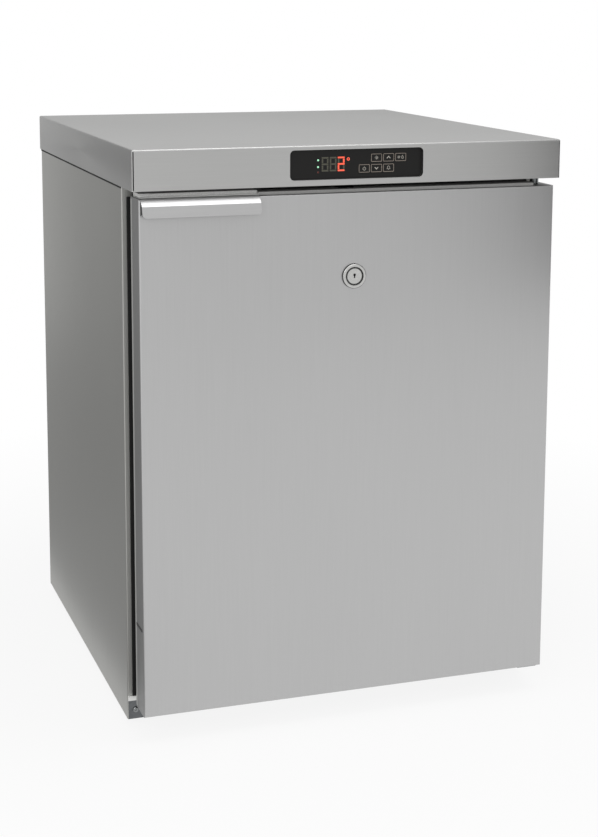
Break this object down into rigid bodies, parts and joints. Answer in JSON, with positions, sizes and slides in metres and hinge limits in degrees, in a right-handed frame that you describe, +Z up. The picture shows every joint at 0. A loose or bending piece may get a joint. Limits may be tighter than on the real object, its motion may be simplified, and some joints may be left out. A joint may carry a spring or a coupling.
{
  "type": "deep freezer",
  "caption": "Under-counter cabinet freezer in brushed stainless steel with a right-hinged insulated door, lip handle, key lock and a control panel in the worktop's front edge.",
  "frame": {"origin": "on the floor, at the centre of the bounding box in plan", "axes": "+X to the right as seen from the front, +Y from the door to the back, +Z up"},
  "size_m": [0.6, 0.658, 0.797],
  "materials": {
    "steel": "brushed stainless sheet",
    "galvanised": "galvanised sheet",
    "white_liner": "white thermoformed sheet",
    "grey_plastic": "grey moulded",
    "foam": "rigid insulation foam",
    "black_plastic": "fine matt moulding",
    "panel_black": "smooth black moulding",
    "segment_lit": "lit red segment",
    "segment_dark": "unlit segment",
    "lamp": "lit green lamp",
    "board": "circuit board",
    "wire": "bright plated wire",
    "aluminium": "mill finish",
    "copper": "drawn copper",
    "compressor_black": "black stoved paint",
    "rubber": "moulded rubber",
    "zinc": "zinc plated",
    "lock_metal": "nickel plated"
  },
  "bodies": {
    "cabinet": {"worktop": "steel", "top_rail": "steel", "left_side_panel": "steel", "right_side_panel": "steel", "back_panel": "galvanised", "base_tray": "galvanised", "base_rail": "steel", "breaker_frame": "grey_plastic", "inner_liner": "white_liner", "cabinet_foam": "foam", "machine_housing": "galvanised", "rear_grille": "galvanised", "feet": "black_plastic", "shelf_pilasters": "steel", "shelf_clips": "steel", "shelf_upper": "wire", "shelf_middle": "wire", "shelf_lower": "wire", "evaporator_coil": "aluminium", "evaporator_cover": "white_liner", "evaporator_fan_motor": "black_plastic", "drain_pan": "white_liner", "temperature_probe": "grey_plastic", "compressor": "compressor_black", "compressor_mounts": "rubber", "condenser_coil": "aluminium", "fan_shroud": "galvanised", "condenser_fan_motor": "black_plastic", "discharge_pipe": "copper", "liquid_pipe": "copper", "suction_pipe": "copper", "evaporation_tray": "black_plastic", "power_inlet": "black_plastic", "control_panel": "panel_black", "segments_lit": "segment_lit", "segments_unlit": "segment_dark", "indicator_lamps": "lamp", "control_board": "board", "top_hinge_bracket": "zinc", "bottom_hinge_bracket": "zinc", "hinge_pins": "zinc", "screws": "zinc"},
    "door": {"door_outer": "steel", "door_inner": "white_liner", "door_foam": "foam", "door_gasket": "rubber", "handle_lip": "steel", "hinge_bushes": "black_plastic", "lock_barrel": "lock_metal", "lock_case": "zinc"},
    "lock_cylinder": {"lock_cylinder": "lock_metal"},
    "lock_bolt": {"lock_bolt": "zinc"},
    "key_1": {"key_1": "panel_black"},
    "key_2": {"key_2": "panel_black"},
    "key_3": {"key_3": "panel_black"},
    "key_4": {"key_4": "panel_black"},
    "key_5": {"key_5": "panel_black"},
    "key_6": {"key_6": "panel_black"},
    "evaporator_fan": {"evaporator_fan": "black_plastic"},
    "condenser_fan": {"condenser_fan": "aluminium"}
  },
  "joints": [
    {"name": "door_hinge", "type": "hinge", "parent": "cabinet", "child": "door", "pos_m": [0.28, -0.284, 0.3855], "axis": [0, 0, 1], "range_deg": [0, 110]},
    {"name": "lock_turn", "type": "hinge", "parent": "door", "child": "lock_cylinder", "pos_m": [0.0025, -0.314, 0.621], "axis": [0, -1, 0], "range_deg": [0, 180]},
    {"name": "bolt_slide", "type": "slide", "parent": "door", "child": "lock_bolt", "axis": [0, 0, 1], "range_m": [0, 0.015]},
    {"name": "evaporator_fan_spin", "type": "hinge", "parent": "cabinet", "child": "evaporator_fan", "pos_m": [0, 0.194, 0.56], "axis": [0, 1, 0], "continuous": true},
    {"name": "condenser_fan_spin", "type": "hinge", "parent": "cabinet", "child": "condenser_fan", "pos_m": [-0.1925, 0.22, 0.135], "axis": [1, 0, 0], "continuous": true},
    {"name": "key_1_press", "type": "slide", "parent": "cabinet", "child": "key_1", "axis": [0, 1, 0], "range_m": [0, 0.0006], "stiffness_N_per_m": 900},
    {"name": "key_2_press", "type": "slide", "parent": "cabinet", "child": "key_2", "axis": [0, 1, 0], "range_m": [0, 0.0006], "stiffness_N_per_m": 900},
    {"name": "key_3_press", "type": "slide", "parent": "cabinet", "child": "key_3", "axis": [0, 1, 0], "range_m": [0, 0.0006], "stiffness_N_per_m": 900},
    {"name": "key_4_press", "type": "slide", "parent": "cabinet", "child": "key_4", "axis": [0, 1, 0], "range_m": [0, 0.0006], "stiffness_N_per_m": 900},
    {"name": "key_5_press", "type": "slide", "parent": "cabinet", "child": "key_5", "axis": [0, 1, 0], "range_m": [0, 0.0006], "stiffness_N_per_m": 900},
    {"name": "key_6_press", "type": "slide", "parent": "cabinet", "child": "key_6", "axis": [0, 1, 0], "range_m": [0, 0.0006], "stiffness_N_per_m": 900}
  ],
  "couplings": [
    {"joint": "bolt_slide", "follows": "lock_turn", "m_per_rad": 0.0047746}
  ]
}
